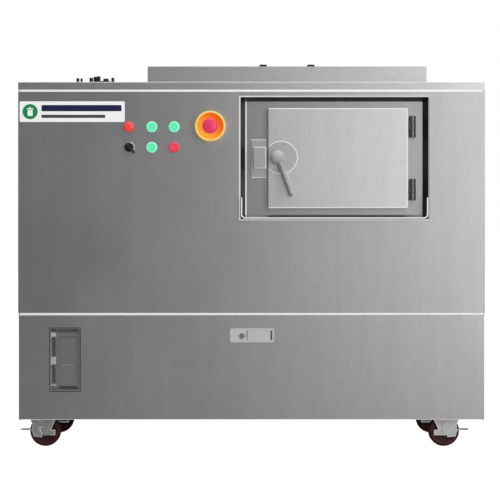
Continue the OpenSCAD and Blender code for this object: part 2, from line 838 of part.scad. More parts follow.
module chamber() {
    y0 = recess_y + 3;
    side_y = [ram_y0 - 2, ram_y1 + 2];
    left_x = -259;
    floor_x1 = gate_x[0] - 2;
    right_x = chamber_x[1];
    top = ring_z0 - 2;
    leg = [20, 14];
    rail_x0 = -175;
    rail_w = 14;
    color("silver") difference() {
        union() {
            block([-wall, y0, channel_z[1] - wall], [right_x + wall, side_y[1] + wall, top]);
            block([left_x, side_y[0] - wall, channel_z[0] - wall],
                [right_x + wall, side_y[1] + wall, channel_z[1] + wall]);
        }
        block([0, y0 + wall, channel_z[1]], [right_x, side_y[1], top + 1]);
        block([left_x - 1, side_y[0], channel_z[0]], [right_x, side_y[1], channel_z[1]]);
        block([0, side_y[0], channel_z[1] - 1], [right_x, side_y[1], channel_z[1] + 10]);
        block([floor_x1, side_y[0], channel_z[0] - 10], [right_x, side_y[1], channel_z[0] + 1]);
        plate_y(y0 - 1, y0 + wall + 1) square_between(feed_lo, feed_hi);
    }
    color("dimgray") for (y = [side_y[0] - wall, side_y[1] + wall - leg.y]) {
        block([-250, y, base_z1], [-250 + leg.x, y + leg.y, channel_z[0] - wall]);
        block([95, y, base_z1], [95 + leg.x, y + leg.y, gate_z[0] - 4]);
    }
    color("dimgray")
        block([right_x + wall, side_y[0] - wall - 4, 500], [frame_x - post_t, side_y[0], 540]);
    color("dimgray") for (side = [-1, 1]) {
        edge = side < 0 ? side_y[0] - wall : side_y[1] + wall;
        block([rail_x0, edge - (side > 0 ? rail_w : 0), gate_z[0] - 4],
            [right_x, edge + (side > 0 ? 0 : rail_w), gate_z[0] - 1]);
        block([rail_x0, edge - (side > 0 ? 3 : 0), gate_z[0] - 1],
            [right_x, edge + (side > 0 ? 0 : 3), channel_z[0] - wall]);
    }
}

module ram_head() {
    skin = 6;
    face = 12;
    color("gray") difference() {
        block([-ram_l, ram_y0, ram_z[0]], [0, ram_y1, ram_z[1]]);
        block([-ram_l - 1, ram_y0 + skin, ram_z[0] + skin], [-face, ram_y1 - skin, ram_z[1] - skin]);
    }
}

module ram_rod() {
    rod_x0 = -140 - ram_stroke;
    color("gainsboro") {
        bar_x(rod_x0, -12, ram_y_mid, cylinder_z, 22.5);
        bar_x(rod_x0, rod_x0 + 40, ram_y_mid, cylinder_z, barrel_d / 2 - 5 - fit);
    }
}

module ram_cylinder() {
    x0 = -578;
    x1 = -75;
    color("steelblue") {
        difference() {
            union() {
                bar_x(x0, x1, ram_y_mid, cylinder_z, barrel_d / 2);
                block([x0, ram_y_mid - 60, cylinder_z - 60], [x0 + 16, ram_y_mid + 60, cylinder_z + 60]);
            }
            bar_x(x0 + 20, x1 - 20, ram_y_mid, cylinder_z, barrel_d / 2 - 5);
            bar_x(x1 - 21, x1 + 1, ram_y_mid, cylinder_z, 22.5 + fit);
        }
        block([x0 - 6, frame_y0 + post_t, cylinder_z - 60], [x0 + 1, frame_y1 - post_t, cylinder_z + 60]);
    }
}

module discharge_gate() {
    color("gray") {
        block([gate_x[0], ram_y0 + 2, gate_z[0]], [gate_x[1], ram_y1 - 2, gate_z[1]]);
        block([gate_x[0], ram_y_mid - 40, gate_z[0] - 8], [gate_x[0] + 8, ram_y_mid + 40, gate_z[0]]);
    }
}

module waste_drawer() {
    t = 2;
    face_x = half_w - 3;
    pull_lo = [face_x - 24, -60, 250];
    pull_hi = [half_w, 60, 290];
    color("silver") difference() {
        union() {
            difference() {
                block([drawer_x0, drawer_y[0] + 4, drawer_z[0]], [face_x, drawer_y[1] - 4, drawer_z[1] - 4]);
                block([drawer_x0 + t, drawer_y[0] + 4 + t, drawer_z[0] + t],
                    [face_x - t, drawer_y[1] - 4 - t, drawer_z[1]]);
            }
            block([face_x, drawer_y[0], drawer_z[0]], [half_w, drawer_y[1], drawer_z[1]]);
            block(pull_lo - [t, t, t], [face_x, pull_hi.y + t, pull_hi.z + t]);
        }
        block(pull_lo, pull_hi + [1, 0, 0]);
    }
}

// ---- Power pack ----

module oil_tank() {
    lo = [-560, -20, base_z1];
    hi = [-350, 260, 335];
    color("steelblue") {
        difference() {
            block(lo, hi);
            block(lo + [3, 3, 3], hi - [3, 3, -1]);
        }
        block([lo.x, lo.y, hi.z], [hi.x, hi.y, hi.z + 3]);
        bar_z(hi.z + 3, hi.z + 20, lo.x + 50, hi.y - 50, 22);
    }
}

module pump_motor() {
    y = 120;
    z = 245;
    r = 68;
    color("steelblue") {
        bar_x(-290, -110, y, z, r);
        for (a = [0 : 20 : 340])
            translate([0, y, z]) rotate([a, 0, 0]) block([-280, -1.5, r - 1], [-120, 1.5, r + 6]);
        block([-270, y - 60, base_z1], [-130, y + 60, z - r + 12]);
        difference() {
            bar_x(-110, -60, y, z, r + 4);
            bar_x(-111, -64, y, z, r + 1);
            for (a = [0 : 30 : 330])
                translate([0, y, z]) rotate([a, 0, 0]) block([-65, -4, 24], [-59, 4, 56]);
        }
    }
    color("gray") {
        block([-346, y - 45, z - 45], [-290, y + 45, z + 45]);
        bar_x(-110, -98, y, z, 8);
    }
}

module motor_fan() {
    y = 120;
    z = 245;
    x0 = -96;
    x1 = -70;
    color("#303030") {
        difference() {
            bar_x(x0 - 12, x1, y, z, 18);
            bar_x(x0 - 13, x0 + 2, y, z, 8 + fit);
        }
        for (a = [0 : 45 : 315])
            translate([0, y, z]) rotate([a, 0, 0]) block([x0, -1.5, 16], [x1, 1.5, 60]);
    }
}

module valve_block() {
    color("gray") {
        block([-575, -150, base_z1], [-480, -60, 215]);
        for (y = [-135, -90]) bar_x(-480, -400, y + 8, 185, 17);
    }
}

// A quarter turn of pipe in the plane of its two legs
module elbow(radius, r) {
    rotate_extrude(angle = 90) translate([radius, 0]) circle(r);
}

module hydraulic_hoses() {
    r = 8;
    bend = 24;
    side_y = ram_y_mid - barrel_d / 2;
    color("#202020") {
        bar_z(215, cylinder_z - bend, -550, side_y - bend, r);
        translate([-550, side_y, cylinder_z - bend]) rotate([0, 90, 0]) rotate([0, 0, 180]) elbow(bend, r);
        bar_z(215, cylinder_z - bend, -510, side_y - bend, r);
        translate([-510 + bend, side_y - bend, cylinder_z - bend]) rotate([90, 0, 180]) elbow(bend, r);
        bar_x(-510 + bend, -110 - bend, side_y - bend, cylinder_z, r);
        translate([-110 - bend, side_y, cylinder_z]) rotate([0, 0, -90]) elbow(bend, r);
        bar_y(-60, -20, -500, 165, 10);
        bar_x(-350, -346, 120, 245, 14);
    }
}

// ---- Castors ----

// Castor parts are drawn at the origin of a swivel axis and trail towards +X
module place_castor(i) {
    s = castor_sides[i];
    translate([s.x * swivel_x + swivel_shift, s.y * swivel_y, 0]) mirror([s.x < 0 ? 1 : 0, 0, 0]) children();
}

module castor_fork(i) {
    pedal_pin_y = wheel_w / 2 + 10;
    crown_z = base_z0 - 4 - gap;
    crown_r = 28;
    leg_y = wheel_w / 2 + 2;
    leg_t = 3;
    leg_x = [-8, 48];
    end_r = 12;
    foot_w = 26;
    nut_h = 5;
    color("darkgray") place_castor(i) {
        difference() {
            union() {
                bar_z(crown_z - 6, crown_z, 0, 0, crown_r);
                block([-20, -leg_y - leg_t, crown_z - 12], [leg_x[1], leg_y + leg_t, crown_z - 6]);
            }
            bar_z(crown_z - 20, crown_z + 1, 0, 0, 6 + fit);
        }
        for (side = [-1, 1]) {
            plate_y(side > 0 ? leg_y : -leg_y - leg_t, side > 0 ? leg_y + leg_t : -leg_y) {
                hull() {
                    square_between([leg_x[0], crown_z - 12], [leg_x[1], crown_z - 7]);
                    translate([trail, axle_z]) circle(end_r);
                }
                square_between([trail - foot_w, axle_z - end_r + 1], [trail + foot_w, axle_z + 3]);
            }
            bar_y(side > 0 ? leg_y + leg_t - 1 : -pedal_pin_y,
                side > 0 ? pedal_pin_y : -leg_y - leg_t + 1, trail, axle_z + pedal_up, 2);
            bar_y(side > 0 ? leg_y + leg_t - 1 : -leg_y - leg_t - nut_h,
                side > 0 ? leg_y + leg_t + nut_h : -leg_y - leg_t + 1, trail, axle_z, 6.5, $fn = 6);
        }
        bar_y(-leg_y - 1, leg_y + 1, trail, axle_z, 4);
    }
}

module castor_wheel(i) {
    r = wheel_d / 2;
    w = wheel_w / 2;
    window_r = 5.5;
    window_at = 19;
    color("maroon") place_castor(i)
        translate([trail, 0, axle_z]) rotate([90, 0, 0]) difference() {
            rotate_extrude() difference() {
                union() {
                    translate([4 + fit, -w - 1.2]) square([9, 2 * w + 2.4]);
                    translate([12, -w + 7]) square([14, 2 * w - 14]);
                    translate([25, -w]) square([r - 29, 2 * w]);
                    translate([25, -w + 4]) square([r - 25, 2 * w - 8]);
                    for (side = [-1, 1]) translate([r - 4, side * (w - 4)]) circle(4);
                }
                translate([0, -w - 2]) square([4 + fit, 2 * w + 4]);
            }
            for (a = [0 : 60 : 300])
                rotate(a) translate([window_at, 0, -w]) cylinder(h = 2 * w, r = window_r);
        }
}

// A brake plate on each side of the wheel, joined by a thin tread that a foot presses
module castor_pedal(i) {
    y0 = wheel_w / 2 + 6;
    plate_t = 2.5;
    pivot_z = axle_z + pedal_up;
    arm_x = 56;
    tread = [72, 92];
    tread_z = [42, 44];
    pad = [[50, 64], [67, 70]];
    color("dimgray") place_castor(i) {
        for (side = [-1, 1])
            plate_y(side > 0 ? y0 : -y0 - plate_t, side > 0 ? y0 + plate_t : -y0) difference() {
                union() {
                    translate([trail, pivot_z]) circle(7);
                    polygon([[trail, pivot_z + 6], [pad[0].x, pad[1].y], pad[1], [60, 56], [62, 40],
                        [57, 26], [36, 24], [36, 34], [44, 48], [trail, pivot_z - 5]]);
                }
                translate([trail, pivot_z]) circle(2 + fit);
            }
        block([tread[0], -y0 - plate_t, tread_z[0]], [tread[1], y0 + plate_t, tread_z[1]]);
        for (side = [-1, 1])
            block([arm_x, side > 0 ? y0 : -y0 - plate_t, tread_z[0]],
                [tread[0] + 1, side > 0 ? y0 + plate_t : -y0, tread_z[1]]);
    }
}

base_frame();
base_floor();
flap_brackets();
upright_frame();
top_frame();
front_panel();
left_panel();
right_panel();
back_panel();
top_panel();
top_lip();
door_recess();
frame_hinges();
latch_keeper();
chamber();
ram_cylinder();
oil_tank();
pump_motor();
valve_block();
hydraulic_hoses();
control_box();
button_bezels();
pilot_lamp();
estop_collar();
service_pocket();
nameplate();
top_fittings();
rear_handle();
door_skin();
door_liner();
door_gasket();
door_hinges();
latch_plate();
latch_lever();
latch_tongue();
service_flap();
flap_latch_body();
flap_paddle();
flap_lock();
top_cover();
push_button(button_spots[0], "mediumaquamarine");  // button_green_1
push_button(button_spots[1], "mediumaquamarine");  // button_green_2
push_button(button_spots[2], "mediumaquamarine");  // button_green_3
push_button(button_spots[3], "tomato");  // button_red
selector_knob();
estop_stem();
estop_head();
socket_cover(socket_zs[0]);  // socket_cover_lower
socket_cover(socket_zs[1]);  // socket_cover_upper
castor_fork(0);  // castor_fork_1
castor_fork(1);  // castor_fork_2
castor_fork(2);  // castor_fork_3
castor_fork(3);  // castor_fork_4
castor_wheel(0);  // castor_wheel_1
castor_wheel(1);  // castor_wheel_2
castor_wheel(2);  // castor_wheel_3
castor_wheel(3);  // castor_wheel_4
castor_pedal(0);  // castor_pedal_1
castor_pedal(1);  // castor_pedal_2
ram_head();
ram_rod();
discharge_gate();
waste_drawer();
motor_fan();
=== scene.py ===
# %% [markdown]
# # A stainless trash compactor on castors
#
# This lesson dresses a finished CAD model. Every CAD part is already in place, in metres, and must
# not move. We copy the parts whose edges need softening, build the round and moulded pieces anew,
# give each surface a procedural finish, and set up a plain studio.

# %% Load the frame
import json
import math

import bmesh
import bpy
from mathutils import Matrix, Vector

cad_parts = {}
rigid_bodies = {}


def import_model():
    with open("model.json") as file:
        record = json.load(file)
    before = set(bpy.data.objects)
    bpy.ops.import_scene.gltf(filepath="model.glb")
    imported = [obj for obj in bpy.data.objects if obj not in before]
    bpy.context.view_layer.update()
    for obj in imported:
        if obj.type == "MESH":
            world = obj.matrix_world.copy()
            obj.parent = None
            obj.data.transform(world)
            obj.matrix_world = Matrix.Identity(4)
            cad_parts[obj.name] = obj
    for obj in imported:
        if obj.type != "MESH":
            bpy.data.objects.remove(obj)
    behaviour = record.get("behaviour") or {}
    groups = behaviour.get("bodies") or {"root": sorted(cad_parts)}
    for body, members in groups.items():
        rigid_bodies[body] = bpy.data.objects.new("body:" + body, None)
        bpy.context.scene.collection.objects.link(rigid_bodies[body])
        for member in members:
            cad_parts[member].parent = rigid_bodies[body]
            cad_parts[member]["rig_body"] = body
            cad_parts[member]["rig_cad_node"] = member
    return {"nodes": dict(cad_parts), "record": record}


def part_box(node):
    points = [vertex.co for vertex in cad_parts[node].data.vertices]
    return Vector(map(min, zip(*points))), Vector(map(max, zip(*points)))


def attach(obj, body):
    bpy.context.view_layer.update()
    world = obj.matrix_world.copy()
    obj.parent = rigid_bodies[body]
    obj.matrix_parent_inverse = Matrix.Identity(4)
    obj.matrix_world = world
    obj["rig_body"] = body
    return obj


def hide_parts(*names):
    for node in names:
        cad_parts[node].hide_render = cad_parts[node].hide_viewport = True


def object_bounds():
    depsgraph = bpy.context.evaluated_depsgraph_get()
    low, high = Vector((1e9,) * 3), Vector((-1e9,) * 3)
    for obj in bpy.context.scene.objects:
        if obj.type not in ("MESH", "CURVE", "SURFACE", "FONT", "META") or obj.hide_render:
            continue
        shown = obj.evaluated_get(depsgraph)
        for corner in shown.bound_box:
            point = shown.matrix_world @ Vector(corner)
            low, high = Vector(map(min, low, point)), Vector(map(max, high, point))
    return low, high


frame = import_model()
cad_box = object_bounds()
nodes = frame["nodes"]
behaviour = frame["record"]["behaviour"]
body_of = {name: body for body, members in behaviour["bodies"].items() for name in members}
MM = 0.001
print("CAD box in metres:", [round(v, 4) for corner in cad_box for v in corner])

# %% [markdown]
# ## Places that everything else hangs on
#
# The CAD nodes tell us where things are. A button's own box gives its centre and its front face,
# so a new cap or bezel lands exactly where the CAD button is, and follows it if the CAD changes.


# %% Reading places from the CAD
def centre(name):
    """Middle of a CAD node's box."""
    low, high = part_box(name)
    return (low + high) / 2


front_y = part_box("front_panel")[0].y
top_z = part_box("top_cover")[0].z
floor_z = cad_box[0].z
print("front face at y =", round(front_y, 4), "top panel at z =", round(top_z, 4))

# %% [markdown]
# ## The camera
#
# The object is seen square-on from a good distance, as in a catalogue: a long lens keeps the front
# almost flat, and still shows the inner walls of the pockets a little.

# %% Camera
view_distance = 7.1
view_width = 1.285
camera_data = bpy.data.cameras.new("catalogue_camera")
camera = bpy.data.objects.new("catalogue_camera", camera_data)
bpy.context.scene.collection.objects.link(camera)
camera_data.sensor_width = 36
camera_data.lens = camera_data.sensor_width * view_distance / view_width
camera_data.clip_end = 200
camera.location = (-0.004, front_y - view_distance, 0.509)
camera.rotation_euler = (math.radians(90), 0, 0)
bpy.context.scene.camera = camera
print("lens in mm:", round(camera_data.lens, 1))

# %% [markdown]
# ## Finishes: groups first
#
# Brushed steel, paint and plastic all share a few effects: a directional grain, soft blotches and
# fine speckle. Each effect is a node group with named sockets, made once, and every material
# places it with its own numbers.


# %% A helper for node groups
def new_group(name, inputs, outputs):
    """An empty shader group with named float or vector inputs and outputs."""
    group = bpy.data.node_groups.new(name, "ShaderNodeTree")
    for label, kind, default in inputs:
        socket = group.interface.new_socket(label, in_out="INPUT", socket_type=kind)
        if default is not None:
            socket.default_value = default
    for label, kind in outputs:
        group.interface.new_socket(label, in_out="OUTPUT", socket_type=kind)
    start = group.nodes.new("NodeGroupInput")
    end = group.nodes.new("NodeGroupOutput")
    return group, start, end


def link(tree, source, target):
    """Joins two sockets."""
    tree.links.new(source, target)


def noise(tree, vector, scale, detail=2.0, roughness=0.5):
    """A noise texture fed by a vector; returns its factor output."""
    node = tree.nodes.new("ShaderNodeTexNoise")
    node.inputs["Detail"].default_value = detail
    node.inputs["Roughness"].default_value = roughness
    if isinstance(scale, (int, float)):
        node.inputs["Scale"].default_value = scale
    else:
        link(tree, scale, node.inputs["Scale"])
    link(tree, vector, node.inputs["Vector"])
    return node.outputs["Fac"]


def arithmetic(tree, operation, a, b, c=0.0):
    """One Math node; numbers are set on the socket and sockets are linked."""
    node = tree.nodes.new("ShaderNodeMath")
    node.operation = operation
    for socket, value in zip(node.inputs, (a, b, c)):
        if isinstance(value, (int, float)):
            socket.default_value = value
        else:
            link(tree, value, socket)
    return node.outputs[0]


# %% [markdown]
# ### Brushed grain
#
# A brushing belt leaves scratches in one direction. Noise that is stretched ten times along that
# direction looks like them. Two widths are mixed: hairlines two or three millimetres wide, and
# faint bands about two centimetres wide where the belt pressed harder.


# %% Brushed grain group
def brushed_grain_group():
    """Brushing scratches, and all-round smudges; the small part of Stretch is the brushed axis."""
    group, start, end = new_group(
        "brushed_grain",
        [("Vector", "NodeSocketVector", None), ("Stretch", "NodeSocketVector", None),
         ("Hair scale", "NodeSocketFloat", 400.0), ("Band scale", "NodeSocketFloat", 45.0)],
        [("Grain", "NodeSocketFloat"), ("Smudge", "NodeSocketFloat")],
    )
    stretched = group.nodes.new("ShaderNodeVectorMath")
    stretched.operation = "MULTIPLY"
    link(group, start.outputs["Vector"], stretched.inputs[0])
    link(group, start.outputs["Stretch"], stretched.inputs[1])
    hair = noise(group, stretched.outputs[0], start.outputs["Hair scale"], 3.0, 0.65)
    band = noise(group, stretched.outputs[0], start.outputs["Band scale"], 4.0, 0.6)
    hair_part = arithmetic(group, "MULTIPLY", hair, 0.7)
    grain = arithmetic(group, "MULTIPLY_ADD", band, 0.3, hair_part)
    link(group, grain, end.inputs["Grain"])
    link(group, noise(group, start.outputs["Vector"], 5.0, 3.0, 0.55), end.inputs["Smudge"])
    return group


def speckle_group():
    """Fine all-round texture for paint, cast metal and moulded plastic."""
    group, start, end = new_group(
        "speckle",
        [("Vector", "NodeSocketVector", None), ("Fine scale", "NodeSocketFloat", 1200.0),
         ("Blotch scale", "NodeSocketFloat", 30.0)],
        [("Fine", "NodeSocketFloat"), ("Blotch", "NodeSocketFloat")],
    )
    link(group, noise(group, start.outputs["Vector"], start.outputs["Fine scale"]), end.inputs["Fine"])
    link(group, noise(group, start.outputs["Vector"], start.outputs["Blotch scale"], 4.0, 0.6),
         end.inputs["Blotch"])
    return group


brushed_grain = brushed_grain_group()
speckle = speckle_group()
print("groups:", [g.name for g in bpy.data.node_groups])


# %% Material helpers
def new_material(name):
    """A material with its Principled shader and the Object coordinates of the piece."""
    material = bpy.data.materials.new(name)
    material.use_nodes = True
    tree = material.node_tree
    shader = tree.nodes["Principled BSDF"]
    place = tree.nodes.new("ShaderNodeTexCoord")
    return material, tree, shader, place.outputs["Object"]


def use_group(tree, group, vector, **values):
    """Places a group in a material; values name its other inputs, with _ for a space."""
    node = tree.nodes.new("ShaderNodeGroup")
    node.node_tree = group
    link(tree, vector, node.inputs["Vector"])
    for label, value in values.items():
        node.inputs[label.replace("_", " ")].default_value = value
    return node.outputs


def ramp(tree, factor, dark, light):
    """Maps a factor from about 0.3 to 0.7 onto two colours."""
    node = tree.nodes.new("ShaderNodeValToRGB")
    node.color_ramp.elements[0].position = 0.3
    node.color_ramp.elements[1].position = 0.7
    node.color_ramp.elements[0].color = (*dark, 1)
    node.color_ramp.elements[1].color = (*light, 1)
    link(tree, factor, node.inputs["Fac"])
    return node.outputs["Color"]


def spread(tree, factor, low, high):
    """Maps a factor from 0.25..0.75 onto low..high."""
    node = tree.nodes.new("ShaderNodeMapRange")
    node.inputs["From Min"].default_value = 0.25
    node.inputs["From Max"].default_value = 0.75
    node.inputs["To Min"].default_value = low
    node.inputs["To Max"].default_value = high
    link(tree, factor, node.inputs["Value"])
    return node.outputs["Result"]


def bump(tree, shader, height, strength, distance):
    """Feeds a height through a Bump node into the shader's normal."""
    node = tree.nodes.new("ShaderNodeBump")
    node.inputs["Strength"].default_value = strength
    node.inputs["Distance"].default_value = distance
    link(tree, height, node.inputs["Height"])
    link(tree, node.outputs["Normal"], shader.inputs["Normal"])


# %% [markdown]
# ### Brushed stainless steel
#
# The front and the door are brushed up and down, the top is brushed from side to side. Grain moves
# the colour by up to a tenth on the large sheets, smudges move the roughness, and a very shallow bump
# breaks reflections into streaks. The recess takes a darker steel than the front, and its walls a
# much darker one: both are painted shade for the inside of the recess.


# %% Stainless steel
def brushed_steel(name, stretch, tone, roughness, contrast=0.1):
    """Stainless sheet brushed along the axis whose stretch is small."""
    material, tree, shader, place = new_material(name)
    grain = use_group(tree, brushed_grain, place, Stretch=stretch)
    dark = [tone * (1 - contrast)] * 3
    light = [min(1.0, tone * (1 + contrast))] * 3
    link(tree, ramp(tree, grain["Grain"], dark, light), shader.inputs["Base Color"])
    link(tree, spread(tree, grain["Smudge"], roughness - 0.04, roughness + 0.05), shader.inputs["Roughness"])
    shader.inputs["Metallic"].default_value = 1.0
    bump(tree, shader, grain["Grain"], 0.25, 0.0002)
    return material


UP = (1.0, 1.0, 0.1)
ALONG = (0.1, 1.0, 1.0)
steel_up = brushed_steel("stainless_brushed_up", UP, 0.60, 0.36)
steel_along = brushed_steel("stainless_brushed_along", ALONG, 0.70, 0.36)
steel_pocket = brushed_steel("stainless_pocket", UP, 0.62, 0.30, 0.07)
steel_door = brushed_steel("stainless_door", UP, 0.81, 0.34, 0.09)
steel_latch = brushed_steel("stainless_latch", UP, 0.71, 0.33, 0.06)
steel_dark = brushed_steel("steel_dark_turned", (1.0, 1.0, 1.0), 0.22, 0.38, 0.15)
steel_mill = brushed_steel("steel_mill_finish", (1.0, 0.05, 1.0), 0.42, 0.45, 0.12)
steel_polished = brushed_steel("steel_polished", (1.0, 1.0, 0.3), 0.82, 0.14, 0.04)
# A darker copy of the front's steel for the door recess: painted shade.
steel_recess_painted_shade = brushed_steel("stainless_recess_painted_shade", UP, 0.50, 0.34, 0.08)
# Near-black steel for the recess walls: painted shade.
steel_shadow = brushed_steel("stainless_recess_wall_painted_shade", UP, 0.10, 0.4, 0.1)
zinc_plate = brushed_steel("zinc_plated", (1.0, 1.0, 1.0), 0.78, 0.34, 0.1)
chrome_bright = brushed_steel("chrome_bright", (1.0, 1.0, 1.0), 0.9, 0.1, 0.02)

# %% [markdown]
# ### Paint, plastic and rubber
#
# These are not metals. A blotch a little lighter or darker keeps them from looking like a flat fill,
# and a fine speckle in the bump gives powder coat, moulding or rubber its skin. Lamps and buttons
# also give off some light. The white plate, the stop, the two seam strips and the thin rolled edges
# use the same recipe, although the real ones don't shine: their glow is painted light. On the seam
# strips and the rolled edges it is a painted highlight, which keeps a line of a millimetre or two
# bright from afar.


# %% Painted and moulded finishes
def moulded(name, colour, roughness, variation=0.08, grain=0.15, fine=1200.0, coat=0.0):
    """Paint, plastic or rubber of one colour, with blotches and a fine skin."""
    material, tree, shader, place = new_material(name)
    skin = use_group(tree, speckle, place, Fine_scale=fine)
    dark = [c * (1 - variation) for c in colour]
    light = [min(1.0, c * (1 + variation)) for c in colour]
    link(tree, ramp(tree, skin["Blotch"], dark, light), shader.inputs["Base Color"])
    link(tree, spread(tree, skin["Blotch"], roughness - 0.05, roughness + 0.06), shader.inputs["Roughness"])
    shader.inputs["Coat Weight"].default_value = coat
    bump(tree, shader, skin["Fine"], grain, 0.0003)
    return material


def lit_plastic(name, colour, glow, roughness=0.3):
    """A moulded finish that also gives off light of its own colour."""
    material = moulded(name, colour, roughness, 0.05, 0.05, coat=0.4)
    shader = material.node_tree.nodes["Principled BSDF"]
    shader.inputs["Emission Color"].default_value = (*colour, 1)
    shader.inputs["Emission Strength"].default_value = glow
    return material


frame_paint = moulded("frame_paint_grey", (0.10, 0.10, 0.11), 0.5)
pack_paint = moulded("power_pack_blue", (0.05, 0.13, 0.26), 0.38, coat=0.3)
box_paint = moulded("control_box_grey", (0.45, 0.45, 0.44), 0.5)
black_plastic = moulded("black_moulding", (0.012, 0.012, 0.013), 0.35, 0.2, 0.1, coat=0.2)
black_rubber = moulded("black_rubber", (0.02, 0.02, 0.02), 0.7, 0.2, 0.3)
tyre_maroon = moulded("tyre_maroon", (0.13, 0.03, 0.035), 0.55, 0.15, 0.25)
wheel_core = moulded("wheel_core_dark", (0.07, 0.03, 0.03), 0.5, 0.15, 0.2)
cast_satin = moulded("latch_satin_plate", (0.72, 0.72, 0.72), 0.3, 0.03, 0.05)
cast_pale = moulded("latch_pale_plate", (0.95, 0.95, 0.95), 0.35, 0.02, 0.05)
ink_blue = moulded("label_blue", (0.022, 0.018, 0.12), 0.4, 0.05, 0.03)
ink_green = moulded("label_green", (0.02, 0.50, 0.16), 0.4, 0.05, 0.03)
ink_grey = moulded("label_grey", (0.12, 0.12, 0.14), 0.4, 0.05, 0.03)
mint_ring = lit_plastic("button_ring_mint", (0.40, 0.88, 0.66), 0.5)
green_cap = lit_plastic("button_cap_green", (0.12, 0.88, 0.48), 0.5)
red_ring = lit_plastic("button_ring_red", (0.72, 0.10, 0.14), 0.3)
red_cap = lit_plastic("button_cap_red", (0.90, 0.055, 0.095), 0.42)
lamp_red = lit_plastic("lamp_red", (0.95, 0.075, 0.05), 0.45, 0.15)
# The stop's collar and mushroom glow though the stop has no lamp: painted light.
stop_yellow = lit_plastic("stop_collar_yellow", (0.98, 0.72, 0.22), 0.45)
stop_inner_painted_shade = lit_plastic("stop_collar_inner_painted_shade", (0.96, 0.45, 0.03), 0.3)
stop_red = lit_plastic("stop_mushroom_red", (0.90, 0.045, 0.14), 0.35)
# White enamel that also glows: the white is the plate's own, the glow is painted light.
white_enamel_painted_glow = lit_plastic("label_white_painted_glow", (0.95, 0.95, 0.95), 0.45)
# This edge material glows: a painted highlight, not a lamp.
painted_highlight_edge = lit_plastic("steel_edge_painted_highlight", (0.9, 0.9, 0.9), 0.45)


def slant_colour(material, axis, low, high, start, end):
    """Grades a lit plastic along an axis of its Object coordinates, between two distances."""
    tree = material.node_tree
    shader = tree.nodes["Principled BSDF"]
    place = tree.nodes.new("ShaderNodeTexCoord")
    measure = tree.nodes.new("ShaderNodeVectorMath")
    measure.operation = "DOT_PRODUCT"
    measure.inputs[1].default_value = axis
    link(tree, place.outputs["Object"], measure.inputs[0])
    scaled = tree.nodes.new("ShaderNodeMapRange")
    scaled.inputs["From Min"].default_value = start
    scaled.inputs["From Max"].default_value = end
    scaled.inputs["To Min"].default_value = 0.3
    scaled.inputs["To Max"].default_value = 0.7
    link(tree, measure.outputs["Value"], scaled.inputs["Value"])
    colours = ramp(tree, scaled.outputs["Result"], low, high)
    link(tree, colours, shader.inputs["Base Color"])
    link(tree, colours, shader.inputs["Emission Color"])


# Painted shade inside the stop collar: yellow at the lower left to orange at the upper right.
stop_middle = centre("estop_collar")
stop_shade_axis = (0.707, 0, 0.707)
stop_shade_along = Vector(stop_shade_axis).dot(stop_middle)
slant_colour(stop_inner_painted_shade, stop_shade_axis, (0.97, 0.62, 0.07), (0.93, 0.24, 0.01),
             stop_shade_along - 28 * MM, stop_shade_along + 24 * MM)
print("materials:", len(bpy.data.materials))

# %% [markdown]
# ## Hand tools
#
# A few short helpers stand for what a modeller does with the mouse: clear the selection, pick a
# piece, pick faces by where they point, and hand a finished piece over to its CAD body.


# %% Selection and finishing helpers
def make_active(piece):
    """Deselects everything and picks one piece."""
    bpy.ops.object.select_all(action="DESELECT")
    piece.select_set(True)
    bpy.context.view_layer.objects.active = piece


def pick_faces(piece, test):
    """In edit mode, selects the faces for which test(face) is true."""
    bpy.ops.mesh.select_mode(type="FACE")
    bpy.ops.mesh.select_all(action="DESELECT")
    mesh = bmesh.from_edit_mesh(piece.data)
    for face in mesh.faces:
        face.select_set(bool(test(face)))
    mesh.select_flush(True)
    bmesh.update_edit_mesh(piece.data)


def apply_modifier(piece, kind, **settings):
    """Adds a modifier, sets it and applies it."""
    make_active(piece)
    modifier = piece.modifiers.new(kind.lower(), kind)
    for key, value in settings.items():
        setattr(modifier, key, value)
    bpy.ops.object.modifier_apply(modifier=modifier.name)


def round_edges(piece, width, segments=2, angle=35):
    """Bevels every edge sharper than the angle and shades it smooth, with flat faces kept flat."""
    apply_modifier(piece, "BEVEL", width=width, segments=segments, limit_method="ANGLE",
                   angle_limit=math.radians(angle), use_clamp_overlap=True)
    bpy.ops.object.shade_smooth_by_angle(angle=math.radians(angle))
    apply_modifier(piece, "WEIGHTED_NORMAL", weight=100, keep_sharp=True)


def paint(piece, material):
    """Gives a piece one material."""
    piece.data.materials.clear()
    piece.data.materials.append(material)


def hand_over(piece, body, replaced=()):
    """Puts the piece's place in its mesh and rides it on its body."""
    make_active(piece)
    bpy.ops.object.transform_apply(location=True, rotation=True, scale=True)
    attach(piece, body)
    if replaced:
        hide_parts(*replaced)
    return piece


# %% [markdown]
# ## Softened sheet metal
#
# Real folded sheet has a small radius on every fold, and that radius catches the light as a thin
# bright line. A CAD shell has perfectly sharp edges. So we copy the node's mesh, merge its loose
# triangles, clear the flat ones away and bevel what is left. The CAD node stays for collision.
#
# Some edges are rolled wider and take the glowing edge material, a painted highlight: long ones of the
# front sheets and the top's lip, and outlines of the door, the recess, the latch and the castor plates.
# A test on an edge's middle and direction picks them. The painted highlight goes only on some edges: a
# real fold is bright only where a lamp catches it, and the door's left and the rim's right stay plain.


# %% Softened copies of CAD nodes
def roll_edges(piece, width, test):
    """Rolls the sharp edges for which test(middle, along) is true; the rolls take the painted-highlight
    material.
    """
    bpy.ops.mesh.select_mode(type="EDGE")
    bpy.ops.mesh.select_all(action="DESELECT")
    mesh = bmesh.from_edit_mesh(piece.data)
    for edge in mesh.edges:
        start, end = (vertex.co for vertex in edge.verts)
        sharp = edge.calc_face_angle(0.0) > math.radians(35)
        edge.select_set(sharp and bool(test((start + end) / 2, end - start)))
    bmesh.update_edit_mesh(piece.data)
    bpy.ops.mesh.bevel(offset=width, segments=3, clamp_overlap=False)
    bpy.ops.mesh.select_mode(type="FACE")
    piece.active_material_index = 1
    bpy.ops.object.material_slot_assign()


